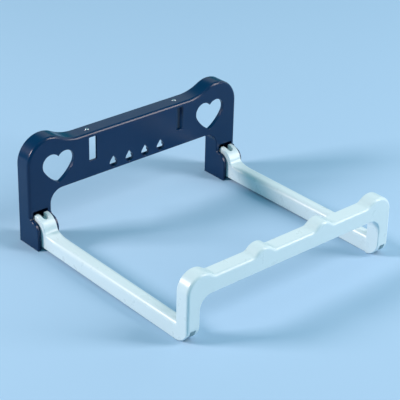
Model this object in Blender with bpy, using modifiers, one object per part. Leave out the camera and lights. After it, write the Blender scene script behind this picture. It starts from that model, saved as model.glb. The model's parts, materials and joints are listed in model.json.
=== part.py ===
"""Folding clothes frame: an upright panel on two clevis legs, with a U-shaped frame hinged between them.

Metres, +Z up. The frame's front rail faces -Y, the panel stands at +Y, and the origin is on the floor
under the middle of the whole object. Shapes are drawn from the panel's front face (y = 0) and the floor
(z = 0), and hang from one empty at the foot of that face and one on the fold axis.
"""

import math

import bmesh
import bpy
from mathutils import Matrix

MM = 0.001

# Panel
PANEL_WIDTH = 260 * MM
PANEL_DEPTH = 17.5 * MM
PANEL_TOP = 98 * MM
PLATE = 2.2 * MM
RIM = 2.5 * MM
EAR_RISE = 9.5 * MM
EAR_RADIUS = 26 * MM
EAR_SWEEP = 50 * MM
ARCH_TOP = 51.5 * MM
ARCH_RADIUS = 14 * MM
FACE_FILLET = 3 * MM
EDGE_FILLET = 1 * MM
LIP_DEPTH = 4.5 * MM
LIP_TOP = 55.7 * MM
LIP_SPAN = 84 * MM
LIP_RAMP = 12 * MM

# Legs and their clevises
LEG_WIDTH = 25 * MM
CHEEK = 4 * MM
CHEEK_RADIUS = 10.2 * MM
CHEEK_FILLET = 2 * MM
POCKET_TOP = 35.5 * MM
REAR_WEB = 2.5 * MM
SHELF = 2.5 * MM
LEDGE_REACH = 14.3 * MM
LEDGE_HEIGHT = 1.6 * MM
LEDGE_GAP = 1.4 * MM

# Openings in the panel
HEART_X = 94.8 * MM
HEART_TIP = 57.8 * MM
LOBE_RADIUS = 10.2 * MM
LOBE_OFFSET = 8 * MM
LOBE_HEIGHT = 21 * MM
HEART_FLANK = 44.3 * MM
HEART_DEPTH = 4.2 * MM
HEART_RIM = 2.2 * MM
SLOT_X = 54.4 * MM
SLOT_WIDTH = 8.8 * MM
SLOT_BOTTOM = 69 * MM
SLOT_HEIGHT = 24.6 * MM
SLOT_CORNER = 0.8 * MM
TEAR_PITCH = 19.8 * MM
TEAR_BOTTOM = 53.9 * MM
TEAR_RADIUS = 4.6 * MM
TEAR_HEIGHT = 12.3 * MM
TEARS = 4
TEAR_PLATE = 3 * MM
TEAR_DEPTH = 3.6 * MM
TEAR_PAD_TOP = 69 * MM
TEAR_RIB_DEPTH = 10 * MM
TEAR_RIB_TOP = 74 * MM

# Strap bars behind the slots
BAR_RADIUS = 1.5 * MM
BAR_HEAD = 2.1 * MM
BAR_DOME = 0.9 * MM
BAR_Y = 9.5 * MM
SOCKET_TOP = 64 * MM
SOCKET_HEIGHT = 6.5 * MM
SOCKET_HALF = 3 * MM
SOCKET_FLOOR = 1 * MM
SLOT_RIB = 2.2 * MM
SLOT_RIB_GAP = 0.5 * MM
BAR_CHAMFER = 0.3 * MM

# Fold axis and its pins
AXIS_Y = -2 * MM
AXIS_Z = 18 * MM
PIN_RADIUS = 2 * MM
PIN_SKIN = 1 * MM
PIN_CHAMFER = 0.4 * MM
RUNNING_FIT = 0.1 * MM
SIDE_PLAY = 0.7 * MM
TOUCH_GAP = 0.3 * MM

# Folding frame
KNUCKLE_RADIUS = 14.8 * MM
KNUCKLE_WALL = 2.5 * MM
KNUCKLE_FILLET = 5 * MM
HUB_RADIUS = 4.2 * MM
NOTCH_WIDTH = 5.6 * MM
NOTCH_REACH = 8.2 * MM
NOTCH_DEPTH = 4.6 * MM
KNUCKLE_BACK = 1 * MM
HUB_SKIN = 1 * MM
STOP_REACH = 17 * MM
STOP_TOP = -28
STOP_BOTTOM = -48
STOP_INSET = 1 * MM
ARM_HEIGHT = 18 * MM
ARM_WIDTH = 12.7 * MM
ARM_FILLET = 4.5 * MM
ARM_HOLLOW_END = 7 * MM
ARM_RIBS = 5
FRAME_WALL = 2.5 * MM
RAIL_REACH = 223 * MM
RAIL_DEPTH = 15 * MM
RAIL_TOP = 59.8 * MM
RAIL_BOTTOM = 43.4 * MM
RAIL_ARCH = 13 * MM
UPRIGHT_WIDTH = 14.1 * MM
HORN_RISE = 5.7 * MM
HORN_RADIUS = 17 * MM
HORN_SWEEP = 10 * MM
BUMP_X = 36.5 * MM
BUMP_RISE = 5.9 * MM
BUMP_RADIUS = 13 * MM
BUMP_SWEEP = 8 * MM
FOOT_RADIUS = 16 * MM
FOOT_OPENING = 12.7 * MM
FOOT_WALL = 3.8 * MM
RIB = 1.8 * MM
RAIL_RIBS = 7
RAIL_RIB_PITCH = 31 * MM
ARM_RIB_PITCH = 33 * MM

# How finely round shapes are cut, in degrees and in steps
ARC_STEP = 10
BEVEL_SEGMENTS = 3
ROUND_STEPS = 24
DOME_STEPS = 4
SHARP_ANGLE = 35
FLAT_ANGLE = 0.1

# How far cutters pass the material and joined shapes reach into each other, and what counts as one place
BEYOND = 10 * MM
OVERLAP = 1 * MM
NEAR = 0.01 * MM
WELD = 0.001 * MM

HALF = PANEL_WIDTH / 2
LEG_INNER = HALF - LEG_WIDTH
KNUCKLE_OUTER = HALF - CHEEK - SIDE_PLAY
KNUCKLE_INNER = LEG_INNER + CHEEK + SIDE_PLAY
KNUCKLE_MIDDLE = (KNUCKLE_OUTER + KNUCKLE_INNER) / 2
RAIL_BACK = -(RAIL_REACH - RAIL_DEPTH)
PANEL_FACE_Y = (RAIL_REACH - PANEL_DEPTH) / 2


# Outlines


def arc(center, radius, start, end):
    """An arc's points from the start angle to the end angle, in degrees, both ends included."""
    steps = max(1, math.ceil(abs(end - start) / ARC_STEP))
    angles = [math.radians(start + (end - start) * i / steps) for i in range(steps + 1)]
    return [(center[0] + radius * math.cos(a), center[1] + radius * math.sin(a)) for a in angles]


def crown(center_x, base, rise, radius, sweep, inset, full):
    """A round crown that rises from a level edge through hollow sweeps, from its right end to its left end.

    Without full it starts on the crown's right side, where the crown's arc runs straight down.
    """
    drop = radius + sweep - rise
    reach = math.sqrt((radius + sweep) ** 2 - drop**2)
    meet = math.degrees(math.atan2(drop, -reach))
    top_center = (center_x, base + rise - radius)
    points = []
    if full:
        points += arc((center_x + reach, base + sweep), sweep + inset, -90, -180 + (180 - meet))
        points += arc(top_center, radius - inset, 180 - meet, meet)
    else:
        points += arc(top_center, radius - inset, 0, meet)
    points += arc((center_x - reach, base + sweep), sweep + inset, meet - 180, -90)
    return points


def mirrored(half):
    return half + [(-x, z) for x, z in reversed(half)]


def panel_outline(inset, foot):
    """The panel's front view. inset moves its sides into the material, and its legs end at foot."""
    corner = (LEG_INNER - ARCH_RADIUS, ARCH_TOP - ARCH_RADIUS)
    half = arc(corner, ARCH_RADIUS + inset, 90, 0)
    half += [(LEG_INNER + inset, foot), (HALF - inset, foot)]
    half += crown(HALF - EAR_RADIUS, PANEL_TOP, EAR_RISE, EAR_RADIUS, EAR_SWEEP, inset, full=False)
    return mirrored(half)


def rail_outline(inset, foot):
    """The front rail's view from the front, with its two uprights, horns and bumps."""
    inner = KNUCKLE_OUTER - UPRIGHT_WIDTH
    half = arc((inner - RAIL_ARCH, RAIL_BOTTOM - RAIL_ARCH), RAIL_ARCH + inset, 90, 0)
    half += [(inner + inset, foot), (KNUCKLE_OUTER - inset, foot)]
    horn_x = KNUCKLE_OUTER - HORN_RADIUS
    half += crown(horn_x, RAIL_TOP, HORN_RISE, HORN_RADIUS, HORN_SWEEP, inset, full=False)
    half += crown(BUMP_X, RAIL_TOP, BUMP_RISE, BUMP_RADIUS, BUMP_SWEEP, inset, full=True)
    return mirrored(half)


def heart_outline(center_x, grow=0):
    """Two round lobes whose flanks are wide arcs that meet at the tip. grow widens it evenly all round."""
    lobe = (LOBE_OFFSET, HEART_TIP + LOBE_HEIGHT)
    back = HEART_FLANK - LOBE_RADIUS
    # The flank's centre lies on the line from the joint through the lobe's centre, HEART_FLANK from the tip.
    distance = math.hypot(LOBE_OFFSET, LOBE_HEIGHT)
    turn = math.acos((back**2 + distance**2 - HEART_FLANK**2) / (2 * back * distance))
    angle = math.atan2(LOBE_HEIGHT, LOBE_OFFSET) - turn
    joint = math.degrees(angle)
    flank = (lobe[0] - back * math.cos(angle), lobe[1] - back * math.sin(angle))
    notch = math.degrees(math.acos(-LOBE_OFFSET / (LOBE_RADIUS + grow)))
    tip = -math.degrees(math.acos(-flank[0] / (HEART_FLANK + grow)))
    half = arc(flank, HEART_FLANK + grow, tip, joint) + arc(lobe, LOBE_RADIUS + grow, joint, notch)[1:]
    left = [(-x, z) for x, z in reversed(half)]
    return [(center_x + x, z) for x, z in half + left[1:-1]]


def tear_outline(center_x):
    """A hole with a round bottom and a pointed top."""
    lean = math.degrees(math.asin(TEAR_RADIUS / (TEAR_HEIGHT - TEAR_RADIUS)))
    bowl = arc((center_x, TEAR_BOTTOM + TEAR_RADIUS), TEAR_RADIUS, 180 - lean, 360 + lean)
    return bowl + [(center_x, TEAR_BOTTOM + TEAR_HEIGHT)]


def slot_outline(center_x):
    """An upright rectangle with small round corners."""
    reach = SLOT_WIDTH / 2 - SLOT_CORNER
    low = SLOT_BOTTOM + SLOT_CORNER
    high = SLOT_BOTTOM + SLOT_HEIGHT - SLOT_CORNER
    points = []
    for x, z, start in ((reach, low, -90), (reach, high, 0), (-reach, high, 90), (-reach, low, 180)):
        points += arc((center_x + x, z), SLOT_CORNER, start, start + 90)
    return points


def cheek_outline():
    """A leg's cheek from the side: upright in front, round over the fold axis, then swept into the plate."""
    top = AXIS_Z + CHEEK_RADIUS
    nose = arc((AXIS_Y, AXIS_Z), CHEEK_RADIUS, 180, 90)
    sweep = arc((-CHEEK_FILLET, top + CHEEK_FILLET), CHEEK_FILLET, 270, 360)
    return [(PANEL_DEPTH, 0), (AXIS_Y - CHEEK_RADIUS, 0)] + nose + sweep[1:] + [(PANEL_DEPTH, sweep[-1][1])]


def arm_outline():
    """An arm from the side: a round knuckle on the fold axis, swept down to the flat top."""
    rise = KNUCKLE_FILLET
    reach = math.sqrt((KNUCKLE_RADIUS + rise) ** 2 - rise**2)
    meet = 180 - math.degrees(math.atan2(rise, reach))
    sweep = arc((AXIS_Y - reach, AXIS_Z + rise), rise, meet - 180, -90)
    knuckle = arc((AXIS_Y, AXIS_Z), KNUCKLE_RADIUS, -90, meet)
    front = RAIL_BACK - RAIL_DEPTH / 2
    return [(front, 0), (FOOT_RADIUS - RAIL_REACH, 0)] + knuckle + sweep + [(front, ARM_HEIGHT)]


def foot_waste():
    """The side view of what the round front foot leaves away."""
    center = (FOOT_RADIUS - RAIL_REACH, FOOT_RADIUS)
    front = -RAIL_REACH - BEYOND
    return arc(center, FOOT_RADIUS, 270, 180) + [(front, FOOT_RADIUS), (front, -BEYOND), (center[0], -BEYOND)]


def stop_outline():
    """The side view of the lug behind the knuckle that meets the leg's ledge when the frame lies open."""
    axis = (AXIS_Y, AXIS_Z)
    tip = arc(axis, STOP_REACH, STOP_BOTTOM, STOP_TOP)
    return tip + arc(axis, KNUCKLE_RADIUS - OVERLAP, STOP_TOP, STOP_BOTTOM)


def notch_outline():
    """The top view of the slot over each knuckle: round in front, open behind."""
    front = arc((KNUCKLE_MIDDLE, AXIS_Y - NOTCH_REACH + NOTCH_WIDTH / 2), NOTCH_WIDTH / 2, 180, 360)
    back = AXIS_Y + KNUCKLE_RADIUS + BEYOND
    return front + [(KNUCKLE_MIDDLE + NOTCH_WIDTH / 2, back), (KNUCKLE_MIDDLE - NOTCH_WIDTH / 2, back)]


def lip_waste():
    """The top view of what is left away behind the lip along the arch's top edge."""
    back = PANEL_DEPTH + BEYOND
    ramp = LIP_RAMP * (back - LIP_DEPTH) / (PANEL_DEPTH - LIP_DEPTH)
    return [(-LIP_SPAN, LIP_DEPTH), (LIP_SPAN, LIP_DEPTH), (LIP_SPAN + ramp, back), (-LIP_SPAN - ramp, back)]


# Solids

PLANES = {
    "front": Matrix.Rotation(math.radians(90), 4, "X"),
    "side": Matrix.Rotation(math.radians(90), 4, "Z") @ Matrix.Rotation(math.radians(90), 4, "X"),
    "top": Matrix.Identity(4),
}
THROUGH = {"front": (0, 1, 0), "side": (1, 0, 0), "top": (0, 0, 1)}


def clear_scene():
    for obj in list(bpy.data.objects):
        bpy.data.objects.remove(obj, do_unlink=True)


def new_collection(name):
    collection = bpy.data.collections.new(name)
    bpy.context.scene.collection.children.link(collection)
    return collection


def new_material(name, color, roughness, metallic=0.0):
    material = bpy.data.materials.new(name)
    material.use_nodes = True
    shader = material.node_tree.nodes["Principled BSDF"]
    shader.inputs["Base Color"].default_value = (*color, 1)
    shader.inputs["Roughness"].default_value = roughness
    shader.inputs["Metallic"].default_value = metallic
    return material


def add_object(name, mesh, collection, parent):
    """Hangs a mesh drawn from the panel's face and the floor from one of the two empties."""
    obj = bpy.data.objects.new(name, mesh)
    collection.objects.link(obj)
    obj.parent = parent
    obj.location = PANEL_FOOT.location - parent.location
    if collection == CUTTERS:
        obj.hide_render = True
        obj.display_type = "WIRE"
    return obj


def edit(mesh, change):
    cage = bmesh.new()
    cage.from_mesh(mesh)
    change(cage)
    cage.normal_update()
    cage.to_mesh(mesh)
    cage.free()
    return mesh


def prism(name, outline, low, high, plane, collection, parent):
    """A flat outline given thickness between low and high, along the axis that its plane faces."""
    curve = bpy.data.curves.new(name, "CURVE")
    curve.dimensions = "2D"
    curve.fill_mode = "BOTH"
    curve.extrude = (high - low) / 2
    spline = curve.splines.new("POLY")
    spline.points.add(len(outline) - 1)
    for point, (u, v) in zip(spline.points, outline):
        point.co = (u, v, 0, 1)
    spline.use_cyclic_u = True
    guide = bpy.data.objects.new(name + "_outline", curve)
    bpy.context.scene.collection.objects.link(guide)
    graph = bpy.context.evaluated_depsgraph_get()
    mesh = bpy.data.meshes.new_from_object(guide.evaluated_get(graph))
    mesh.name = name
    bpy.data.objects.remove(guide)
    middle = [(low + high) / 2 * side for side in THROUGH[plane]]
    mesh.transform(Matrix.Translation(middle) @ PLANES[plane])

    def tidy(cage):
        bmesh.ops.remove_doubles(cage, verts=cage.verts, dist=WELD)
        flat = math.radians(FLAT_ANGLE)
        bmesh.ops.dissolve_limit(cage, angle_limit=flat, verts=cage.verts, edges=cage.edges)
        bmesh.ops.recalc_face_normals(cage, faces=cage.faces)

    edit(mesh, tidy)
    return add_object(name, mesh, collection, parent)


def block(name, low, high, collection, parent):
    """A box between two corners."""
    middle = [(a + b) / 2 for a, b in zip(low, high)]
    size = [b - a for a, b in zip(low, high)]
    place = Matrix.Translation(middle) @ Matrix.Diagonal((*size, 1))
    mesh = bpy.data.meshes.new(name)
    edit(mesh, lambda cage: bmesh.ops.create_cube(cage, size=1, matrix=place))
    return add_object(name, mesh, collection, parent)


def rod(name, radius, low, high, center, plane, collection, parent):
    """A cylinder along the axis that its plane faces, through the point (u, v) of that plane."""
    length = high - low
    place = Matrix.Translation([(low + high) / 2 * side for side in THROUGH[plane]]) @ PLANES[plane]
    place = place @ Matrix.Translation((*center, 0))
    mesh = bpy.data.meshes.new(name)
    size = {"segments": ROUND_STEPS, "radius1": radius, "radius2": radius, "depth": length}
    edit(mesh, lambda cage: bmesh.ops.create_cone(cage, cap_ends=True, matrix=place, **size))
    return add_object(name, mesh, collection, parent)


def turned(name, profile, collection, parent):
    """A profile of (radius, height) pairs, top to bottom, turned about Z."""
    mesh = bpy.data.meshes.new(name)
    mesh.from_pydata([(r, 0, z) for r, z in profile], [(i, i + 1) for i in range(len(profile) - 1)], [])
    obj = add_object(name, mesh, collection, parent)
    screw = obj.modifiers.new("turn", "SCREW")
    screw.steps = screw.render_steps = ROUND_STEPS
    screw.use_merge_vertices = True
    screw.merge_threshold = WELD
    return obj


def round_edges(obj, radius, wanted):
    """Rounds the edges whose two end points wanted() accepts."""

    def bevel(cage):
        edges = [edge for edge in cage.edges if wanted(edge)]
        shape = {"offset": radius, "segments": BEVEL_SEGMENTS, "profile": 0.5}
        bmesh.ops.bevel(cage, geom=edges, affect="EDGES", clamp_overlap=False, **shape)

    edit(obj.data, bevel)


def boolean(obj, operation, tools):
    for tool in tools:
        modifier = obj.modifiers.new(f"{operation.lower()}_{tool.name}", "BOOLEAN")
        modifier.operation = operation
        modifier.solver = "EXACT"
        modifier.object = tool
    return obj


def both_sides(obj):
    """Repeats a right-hand cutter or helper on the left."""
    mirror = obj.modifiers.new("left", "MIRROR")
    mirror.use_mirror_merge = False
    return obj


def narrow(obj, wall):
    """Slants an arm's inner side, so that the arm is full width at its knuckle and narrower at the rail."""
    start = AXIS_Y - KNUCKLE_RADIUS
    slant = (KNUCKLE_OUTER - KNUCKLE_INNER - ARM_WIDTH) / (start - RAIL_BACK)
    for vertex in obj.data.vertices:
        if vertex.co.x < KNUCKLE_INNER + wall + NEAR:
            vertex.co.x += slant * min(max(start - vertex.co.y, 0), start - RAIL_BACK)
    return obj


# Sub-parts


def back_panel(parent):
    """The upright panel: a plate with a rim behind it, and two legs that end in clevises."""
    panel = prism("back_panel", panel_outline(0, 0), 0, PANEL_DEPTH, "front", PARTS, parent)

    def on_face(edge):
        return all(abs(vertex.co.y) < NEAR for vertex in edge.verts)

    def in_arch(edge):
        return on_face(edge) and all(
            abs(vertex.co.x) < LEG_INNER + NEAR and vertex.co.z < ARCH_TOP + NEAR for vertex in edge.verts
        )

    def on_floor(edge):
        return all(vertex.co.z < NEAR for vertex in edge.verts)

    round_edges(panel, FACE_FILLET, lambda edge: on_face(edge) and not in_arch(edge) and not on_floor(edge))
    round_edges(panel, EDGE_FILLET, in_arch)

    cheeks = []
    for name, low, high in (
        ("outer_cheek", HALF - CHEEK, HALF),
        ("inner_cheek", LEG_INNER, LEG_INNER + CHEEK),
    ):
        cheek = prism(name, cheek_outline(), low, high, "side", CUTTERS, parent)
        round_edges(
            cheek,
            EDGE_FILLET,
            lambda edge: abs(edge.verts[0].co.x - edge.verts[1].co.x) < NEAR
            and max(vertex.co.y for vertex in edge.verts) < -CHEEK_FILLET / 2
            and not on_floor(edge),
        )
        cheeks.append(both_sides(cheek))
    boolean(panel, "UNION", cheeks)

    tools = [tray(parent), lip_relief(parent), hinge_pocket(parent)]
    for side, word in ((-1, "left"), (1, "right")):
        tools.append(through_plate(f"heart_{word}", heart_outline(side * HEART_X), parent))
        tools.append(through_plate(f"slot_{word}", slot_outline(side * SLOT_X), parent))
    for place in range(TEARS):
        tear = tear_outline((place - (TEARS - 1) / 2) * TEAR_PITCH)
        tools.append(prism(f"tear_{place + 1}", tear, -BEYOND, TEAR_DEPTH, "front", CUTTERS, parent))
    hole, low = BAR_RADIUS + RUNNING_FIT, SOCKET_TOP - SOCKET_HEIGHT + SOCKET_FLOOR
    drill = rod("bar_hole", hole, low, PANEL_TOP + BEYOND, (SLOT_X, BAR_Y), "top", CUTTERS, parent)
    hole, low, high = PIN_RADIUS + RUNNING_FIT, LEG_INNER + PIN_SKIN, HALF - PIN_SKIN
    sockets = rod("pin_sockets", hole, low, high, (AXIS_Y, AXIS_Z), "side", CUTTERS, parent)
    tools += [both_sides(drill), both_sides(sockets)]
    boolean(panel, "DIFFERENCE", tools)
    return panel


def through_plate(name, outline, parent):
    return prism(name, outline, -BEYOND, LIP_DEPTH + BEYOND / 2, "front", CUTTERS, parent)


def tray(parent):
    """The hollow behind the plate, less what stands in it."""
    outline = panel_outline(RIM, POCKET_TOP + SHELF)
    hollow = prism("tray", outline, PLATE, PANEL_DEPTH + BEYOND, "front", CUTTERS, parent)
    rib_x = SLOT_X + SLOT_WIDTH / 2 + SLOT_RIB_GAP
    rib = block("slot_rib", (rib_x, 0, ARCH_TOP), (rib_x + SLOT_RIB, PANEL_DEPTH, PANEL_TOP), CUTTERS, parent)
    socket = block(
        "bar_socket",
        (SLOT_X - SOCKET_HALF, 0, SOCKET_TOP - SOCKET_HEIGHT),
        (SLOT_X + SOCKET_HALF, BAR_Y + SOCKET_HALF, SOCKET_TOP),
        CUTTERS,
        parent,
    )
    rim = prism("heart_rim", heart_outline(HEART_X, HEART_RIM), 0, HEART_DEPTH, "front", CUTTERS, parent)
    standing = [both_sides(rib), both_sides(socket), both_sides(rim)]
    standing.append(block("lip", (-LIP_SPAN, 0, 0), (LIP_SPAN, LIP_DEPTH, LIP_TOP), CUTTERS, parent))
    reach = TEARS / 2 * TEAR_PITCH
    standing.append(block("tear_pad", (-reach, 0, 0), (reach, TEAR_PLATE, TEAR_PAD_TOP), CUTTERS, parent))
    for place in range(TEARS + 1):
        x = (place - TEARS / 2) * TEAR_PITCH
        low, high = (x - RIB / 2, 0, ARCH_TOP), (x + RIB / 2, TEAR_RIB_DEPTH, TEAR_RIB_TOP)
        standing.append(block(f"tear_rib_{place + 1}", low, high, CUTTERS, parent))
    return boolean(hollow, "DIFFERENCE", standing)


def lip_relief(parent):
    return prism("lip_relief", lip_waste(), ARCH_TOP - BEYOND / 2, LIP_TOP - OVERLAP, "top", CUTTERS, parent)


def hinge_pocket(parent):
    """The space between the cheeks, less the ledge on the rear web that stops the knuckle's lug."""
    web_face = PANEL_DEPTH - REAR_WEB
    pocket = block(
        "hinge_pocket",
        (LEG_INNER + CHEEK, AXIS_Y - CHEEK_RADIUS - BEYOND, -BEYOND),
        (HALF - CHEEK, web_face, POCKET_TOP),
        CUTTERS,
        parent,
    )
    ledge_bottom = AXIS_Z + STOP_REACH * math.sin(math.radians(STOP_TOP)) + LEDGE_GAP
    ledge = block(
        "stop_ledge",
        (LEG_INNER + CHEEK - OVERLAP, AXIS_Y + LEDGE_REACH, ledge_bottom),
        (HALF - CHEEK + OVERLAP, web_face + OVERLAP, ledge_bottom + LEDGE_HEIGHT),
        CUTTERS,
        parent,
    )
    return both_sides(boolean(pocket, "DIFFERENCE", [ledge]))


def folding_frame(parent):
    """The U-shaped frame: two arms with knuckles, and a front rail on two uprights."""
    frame = prism("folding_frame", rail_outline(0, 0), -RAIL_REACH, RAIL_BACK, "front", PARTS, parent)
    inner = KNUCKLE_OUTER - UPRIGHT_WIDTH

    def on_face(edge):
        return all(abs(vertex.co.y + RAIL_REACH) < NEAR for vertex in edge.verts)

    def in_arch(edge):
        return on_face(edge) and all(
            abs(vertex.co.x) < inner + NEAR and vertex.co.z < RAIL_BOTTOM + NEAR for vertex in edge.verts
        )

    def on_floor(edge):
        return all(vertex.co.z < NEAR for vertex in edge.verts)

    round_edges(frame, FACE_FILLET, lambda edge: on_face(edge) and not in_arch(edge) and not on_floor(edge))
    round_edges(frame, EDGE_FILLET, in_arch)

    arm = prism("arm", arm_outline(), KNUCKLE_INNER, KNUCKLE_OUTER, "side", CUTTERS, parent)

    def on_top(edge):
        side = abs(edge.verts[0].co.x - edge.verts[1].co.x) < NEAR
        above = all(vertex.co.z > AXIS_Z - KNUCKLE_RADIUS + FACE_FILLET for vertex in edge.verts)
        level = any(vertex.co.y > RAIL_BACK - RAIL_DEPTH / 2 + NEAR for vertex in edge.verts)
        return side and above and level

    round_edges(arm, ARM_FILLET, on_top)
    narrow(arm, ARM_FILLET)
    low, high = KNUCKLE_INNER + STOP_INSET, KNUCKLE_OUTER - STOP_INSET
    lug = prism("stop_lug", stop_outline(), low, high, "side", CUTTERS, parent)
    boolean(frame, "UNION", [both_sides(boolean(arm, "UNION", [lug]))])

    waste = prism("foot_waste", foot_waste(), -HALF, HALF, "side", CUTTERS, parent)
    foot_opening = block(
        "foot_opening",
        (inner + FOOT_WALL, -RAIL_REACH - BEYOND, -BEYOND),
        (KNUCKLE_OUTER - FOOT_WALL, RAIL_BACK - RAIL_DEPTH / 2, FOOT_OPENING),
        CUTTERS,
        parent,
    )
    low, high = AXIS_Z + HUB_RADIUS + HUB_SKIN, AXIS_Z + KNUCKLE_RADIUS + BEYOND
    notch = prism("knuckle_notch", notch_outline(), low, high, "top", CUTTERS, parent)
    floor, axis = KNUCKLE_RADIUS - NOTCH_DEPTH, (AXIS_Y, AXIS_Z)
    notch_floor = rod("notch_floor", floor, KNUCKLE_INNER, KNUCKLE_OUTER, axis, "side", CUTTERS, parent)
    boolean(notch, "DIFFERENCE", [notch_floor])
    back = block(
        "knuckle_back",
        (KNUCKLE_INNER - BEYOND, AXIS_Y + KNUCKLE_BACK, low),
        (KNUCKLE_OUTER + BEYOND, AXIS_Y + KNUCKLE_RADIUS + BEYOND, high),
        CUTTERS,
        parent,
    )
    hole, low, high = PIN_RADIUS + RUNNING_FIT, KNUCKLE_INNER - BEYOND, KNUCKLE_OUTER + BEYOND
    bore = rod("pin_bore", hole, low, high, axis, "side", CUTTERS, parent)
    tools = [waste, both_sides(foot_opening), rail_hollow(parent), arm_hollow(parent), knuckle_hollow(parent)]
    tools += [both_sides(notch), both_sides(back), both_sides(bore)]
    boolean(frame, "DIFFERENCE", tools)
    return frame


def rail_hollow(parent):
    """The hollow behind the rail's front, open at the back and crossed by upright ribs."""
    outline = rail_outline(FRAME_WALL, ARM_HEIGHT + FRAME_WALL)
    low, high = -RAIL_REACH + FRAME_WALL, RAIL_BACK + FRAME_WALL
    hollow = prism("rail_hollow", outline, low, high, "front", CUTTERS, parent)
    ribs = []
    for place in range(RAIL_RIBS):
        x = (place - (RAIL_RIBS - 1) / 2) * RAIL_RIB_PITCH
        low = (x - RIB / 2, -RAIL_REACH, RAIL_BOTTOM - FRAME_WALL)
        high = (x + RIB / 2, RAIL_BACK, RAIL_TOP + BEYOND)
        ribs.append(block(f"rail_rib_{place + 1}", low, high, CUTTERS, parent))
    return boolean(hollow, "DIFFERENCE", ribs)


def arm_hollow(parent):
    """The channel under an arm, open downwards and crossed by ribs."""
    channel = block(
        "arm_hollow",
        (KNUCKLE_INNER + FRAME_WALL, -RAIL_REACH + FRAME_WALL, -BEYOND),
        (KNUCKLE_OUTER - FRAME_WALL, AXIS_Y - ARM_HOLLOW_END, ARM_HEIGHT - FRAME_WALL),
        CUTTERS,
        parent,
    )
    narrow(channel, FRAME_WALL)
    ribs = []
    for place in range(ARM_RIBS):
        y = AXIS_Y - KNUCKLE_RADIUS - (place + 1) * ARM_RIB_PITCH
        low, high = (KNUCKLE_INNER, y - RIB / 2, RIB), (KNUCKLE_OUTER, y + RIB / 2, ARM_HEIGHT)
        ribs.append(block(f"arm_rib_{place + 1}", low, high, CUTTERS, parent))
    return both_sides(boolean(channel, "DIFFERENCE", ribs))


def knuckle_hollow(parent):
    """The hollow in the lower half of a knuckle, around the hub that carries the pin."""
    low, high = KNUCKLE_INNER + FRAME_WALL, KNUCKLE_OUTER - FRAME_WALL
    axis, reach = (AXIS_Y, AXIS_Z), KNUCKLE_RADIUS + BEYOND
    hollow = rod("knuckle_hollow", KNUCKLE_RADIUS - KNUCKLE_WALL, low, high, axis, "side", CUTTERS, parent)
    hub = rod("hub", HUB_RADIUS, low - OVERLAP, high + OVERLAP, axis, "side", CUTTERS, parent)
    core_low = (low - OVERLAP, AXIS_Y - reach, AXIS_Z)
    core_high = (high + OVERLAP, AXIS_Y + reach, AXIS_Z + reach)
    core = block("core", core_low, core_high, CUTTERS, parent)
    return both_sides(boolean(hollow, "DIFFERENCE", [hub, core]))


def hinge_pin(name, side, parent):
    """A plain steel pin between the blind sockets of a leg's two cheeks."""
    length = LEG_WIDTH - 2 * PIN_SKIN - 2 * TOUCH_GAP
    profile = [
        (0, length / 2),
        (PIN_RADIUS - PIN_CHAMFER, length / 2),
        (PIN_RADIUS, length / 2 - PIN_CHAMFER),
        (PIN_RADIUS, PIN_CHAMFER - length / 2),
        (PIN_RADIUS - PIN_CHAMFER, -length / 2),
        (0, -length / 2),
    ]
    pin = turned(name, profile, PARTS, parent)
    pin.rotation_euler.y = math.radians(90)
    pin.location.x += side * (HALF - LEG_WIDTH / 2)
    pin.location.y += AXIS_Y
    pin.location.z += AXIS_Z
    return pin


def strap_bar(name, side, parent):
    """A domed steel pin dropped through the top rim, past the back of a slot, into its socket."""
    head_seat = PANEL_TOP + TOUCH_GAP / 3
    bottom = SOCKET_TOP - SOCKET_HEIGHT + SOCKET_FLOOR + TOUCH_GAP
    turns = [math.radians(90 * step / DOME_STEPS) for step in range(DOME_STEPS + 1)]
    dome = [(BAR_HEAD * math.sin(turn), head_seat + BAR_DOME * math.cos(turn)) for turn in turns]
    profile = dome + [
        (BAR_RADIUS, head_seat),
        (BAR_RADIUS, bottom + BAR_CHAMFER),
        (BAR_RADIUS - BAR_CHAMFER, bottom),
        (0, bottom),
    ]
    bar = turned(name, profile, PARTS, parent)
    bar.location.x += side * SLOT_X
    bar.location.y += BAR_Y
    return bar


def finish(obj, material):
    """Gives a part its material, and smooth shading that keeps its edges."""
    obj.data.materials.append(material)
    obj.data.shade_smooth()
    obj.data.set_sharp_from_angle(angle=math.radians(SHARP_ANGLE))


clear_scene()
PARTS = new_collection("folding_clothes_frame")
CUTTERS = new_collection("cutters")
CUTTERS.hide_render = True

PANEL_FOOT = bpy.data.objects.new("panel_foot", None)
PANEL_FOOT.location = (0, PANEL_FACE_Y, 0)
FOLD_AXIS = bpy.data.objects.new("fold_axis", None)
FOLD_AXIS.location = (0, PANEL_FACE_Y + AXIS_Y, AXIS_Z)
for empty in (PANEL_FOOT, FOLD_AXIS):
    PARTS.objects.link(empty)

navy = new_material("navy_plastic", (0.012, 0.032, 0.085), 0.35)
mint = new_material("mint_plastic", (0.62, 0.83, 0.86), 0.38)
steel = new_material("steel", (0.7, 0.71, 0.73), 0.25, metallic=1.0)

finish(back_panel(PANEL_FOOT), navy)
finish(folding_frame(FOLD_AXIS), mint)
for side, word in ((-1, "left"), (1, "right")):
    finish(hinge_pin(f"hinge_pin_{word}", side, PANEL_FOOT), steel)
    finish(strap_bar(f"strap_bar_{word}", side, PANEL_FOOT), steel)
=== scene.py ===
"""Looks of the folding clothes frame: fine mouldings, plastics, steel, light and camera.

Metres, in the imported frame. The mouldings are drawn from the panel's front face (y = 0) and the floor
(z = 0), as the CAD solids are, and then pushed back to where the fold axis says that face is.
"""

import json
import math

import bmesh
import bpy
from mathutils import Matrix, Vector


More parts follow.
